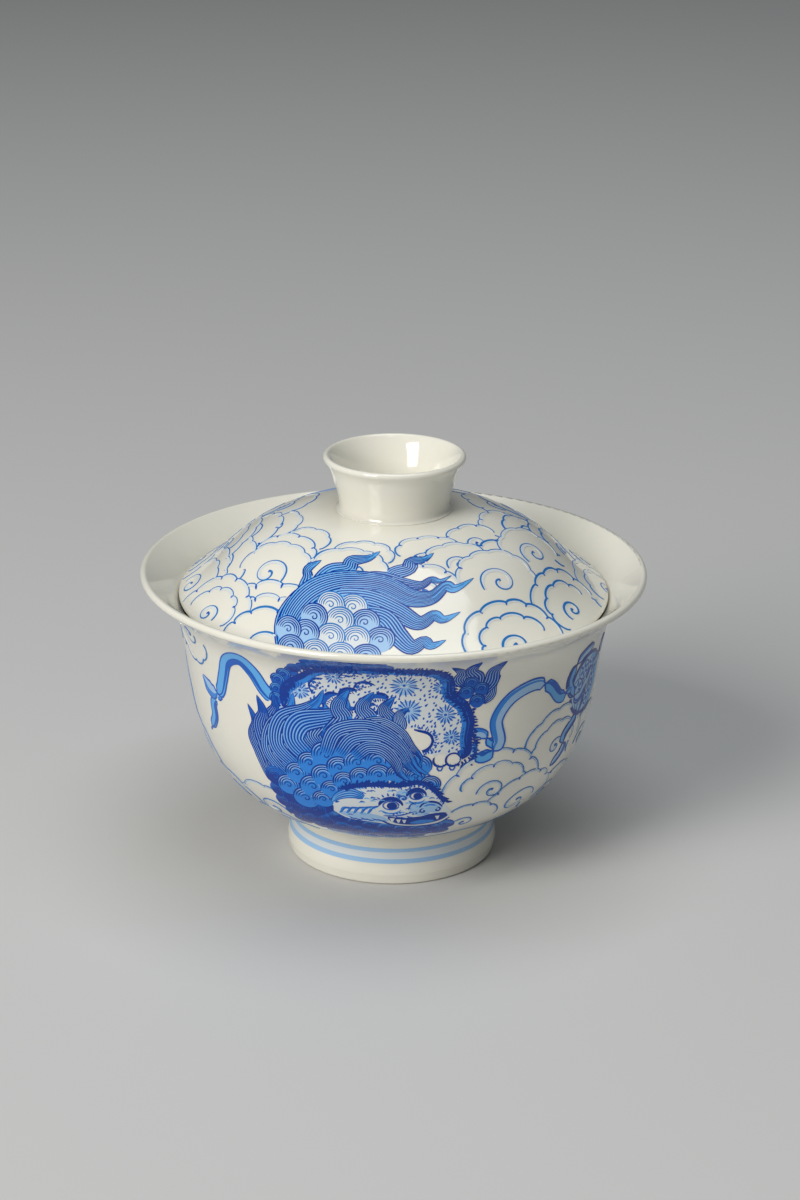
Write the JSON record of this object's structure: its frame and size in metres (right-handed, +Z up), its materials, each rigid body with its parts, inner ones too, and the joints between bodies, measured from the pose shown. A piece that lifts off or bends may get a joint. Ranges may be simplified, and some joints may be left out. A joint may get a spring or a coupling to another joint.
{
  "type": "gaiwan",
  "caption": "Lidded porcelain tea bowl with a flared lip, a foot ring and a domed lift-off lid that carries a trumpet-shaped knob ring.",
  "frame": {"origin": "centre of the foot ring's resting face", "axes": "+Z up along the axis that the bowl and the lid are turned about; X and Y are any two level directions"},
  "size_m": [0.1, 0.1, 0.083],
  "materials": {
    "porcelain_glaze": "glossy clear glaze over warm white porcelain",
    "cobalt_underglaze": "hand-brushed cobalt blue under the clear glaze"
  },
  "bodies": {
    "bowl": {"bowl": "porcelain_glaze", "foot_ring": "porcelain_glaze"},
    "lid": {"lid": "porcelain_glaze", "knob_ring": "porcelain_glaze"}
  },
  "joints": [
    {"name": "lid_lift", "type": "slide", "parent": "bowl", "child": "lid", "axis": [0, 0, 1], "range_m": [0, 0.06]}
  ]
}
